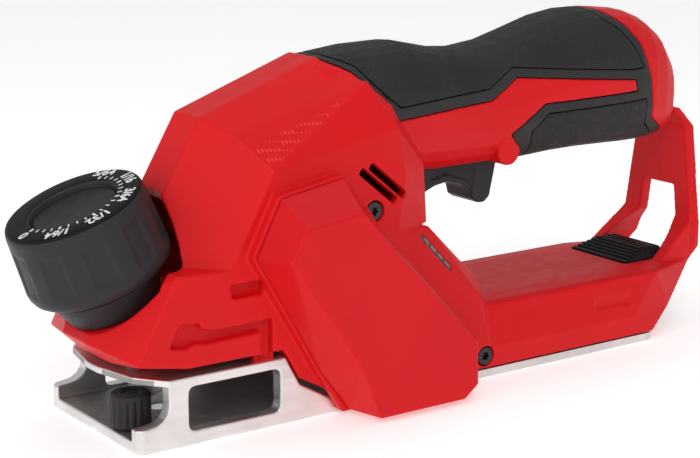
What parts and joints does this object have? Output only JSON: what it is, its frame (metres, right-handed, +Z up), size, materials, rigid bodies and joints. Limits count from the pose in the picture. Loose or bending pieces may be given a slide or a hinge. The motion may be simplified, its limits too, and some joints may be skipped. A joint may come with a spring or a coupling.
{
  "type": "electric hand planer",
  "caption": "Compact cordless hand planer: closed rear handle with trigger, sloped nose with a depth knob, adjustable front shoe, belt-driven cutter and slide-in battery.",
  "frame": {"origin": "on the underside of the rear shoe, on the tool's centre line, 12 mm behind the shoe's front edge", "axes": "+X the cutting direction, towards the depth knob; +Y towards the belt cover; +Z up"},
  "size_m": [0.2767, 0.0786, 0.1219],
  "materials": {
    "red_plastic": "satin moulded, fine grain",
    "charcoal_rubber": "matt, stippled",
    "charcoal_nylon": "matt moulded",
    "black_plastic": "satin moulded",
    "cast_aluminium": "cast, sole face milled",
    "steel": "ground",
    "black_steel": "black oxide",
    "copper_windings": "enamelled copper wire",
    "belt_rubber": "ribbed",
    "circuit_board": "solder-masked board",
    "smoked_lens": "smooth, smoked",
    "grey_plastic": "moulded"
  },
  "bodies": {
    "body": {"housing_left": "red_plastic", "housing_right": "red_plastic", "belt_cover": "red_plastic", "grip_left": "charcoal_rubber", "grip_right": "charcoal_rubber", "chip_guard": "black_plastic", "switch_module": "black_plastic", "battery_terminals": "black_plastic", "rear_shoe": "cast_aluminium", "rear_shoe_screw_1": "steel", "rear_shoe_screw_2": "steel", "rear_shoe_screw_3": "steel", "rear_shoe_screw_4": "steel", "depth_spring": "steel", "drum_bearing_left": "steel", "drum_bearing_right": "steel", "motor_stator": "steel", "motor_bearing_left": "steel", "motor_bearing_right": "steel", "housing_screw_1": "black_steel", "housing_screw_2": "black_steel", "housing_screw_3": "black_steel", "housing_screw_4": "black_steel", "cover_screw_1": "black_steel", "cover_screw_2": "black_steel", "motor_winding_left": "copper_windings", "motor_winding_right": "copper_windings", "drive_belt": "belt_rubber", "control_board": "circuit_board", "gauge_board": "circuit_board", "gauge_lens": "smoked_lens", "chip_deflector": "grey_plastic"},
    "cutter": {"cutter_drum": "cast_aluminium", "blade_1": "steel", "blade_2": "steel", "blade_clamp_1": "cast_aluminium", "blade_clamp_2": "cast_aluminium", "clamp_screw_11": "black_steel", "clamp_screw_12": "black_steel", "clamp_screw_21": "black_steel", "clamp_screw_22": "black_steel", "driven_pulley": "grey_plastic"},
    "rotor": {"motor_rotor": "black_steel", "motor_fan": "black_plastic", "drive_pulley": "grey_plastic"},
    "depth_setting": {"depth_knob": "charcoal_nylon", "depth_collar": "black_plastic", "depth_dial_cap": "charcoal_nylon", "depth_screw": "steel"},
    "front_shoe": {"front_shoe": "cast_aluminium"},
    "fence_lock": {"fence_lock_knob": "charcoal_nylon", "fence_lock_stud": "steel"},
    "trigger": {"trigger": "charcoal_nylon", "trigger_spring": "steel"},
    "battery": {"battery_pack": "black_plastic", "latch_spring": "steel"},
    "battery_latch": {"battery_latch": "black_plastic"}
  },
  "joints": [
    {"name": "cutter_spin", "type": "hinge", "parent": "body", "child": "cutter", "pos_m": [0.028, 0, 0.0193], "axis": [0, 1, 0], "continuous": true},
    {"name": "rotor_spin", "type": "hinge", "parent": "body", "child": "rotor", "pos_m": [0.06, 0, 0.056], "axis": [0, 1, 0], "continuous": true},
    {"name": "depth_turn", "type": "hinge", "parent": "body", "child": "depth_setting", "pos_m": [0.1213, 0, 0.0531], "axis": [0.3746, 0, 0.9272], "range_deg": [-240, 0]},
    {"name": "shoe_slide", "type": "slide", "parent": "body", "child": "front_shoe", "axis": [0.3746, 0, 0.9272], "range_m": [0, 0.0026]},
    {"name": "fence_lock_turn", "type": "hinge", "parent": "front_shoe", "child": "fence_lock", "pos_m": [0.1185, 0.013, 0.009], "axis": [0, 0, 1], "range_deg": [0, 360]},
    {"name": "trigger_pull", "type": "hinge", "parent": "body", "child": "trigger", "pos_m": [0.001, 0, 0.0755], "axis": [0, 1, 0], "range_deg": [0, 8], "stiffness_Nm_per_rad": 0.35, "springref_deg": -5.73},
    {"name": "battery_slide", "type": "slide", "parent": "body", "child": "battery", "axis": [-1, 0, 0], "range_m": [0, 0.095]},
    {"name": "latch_press", "type": "slide", "parent": "battery", "child": "battery_latch", "axis": [0, 0, -1], "range_m": [0, 0.0015], "stiffness_N_per_m": 2000, "springref_m": -0.001}
  ],
  "couplings": [
    {"joint": "shoe_slide", "follows": "depth_turn", "m_per_rad": -0.000515},
    {"joint": "rotor_spin", "follows": "cutter_spin", "ratio": 1.595}
  ]
}
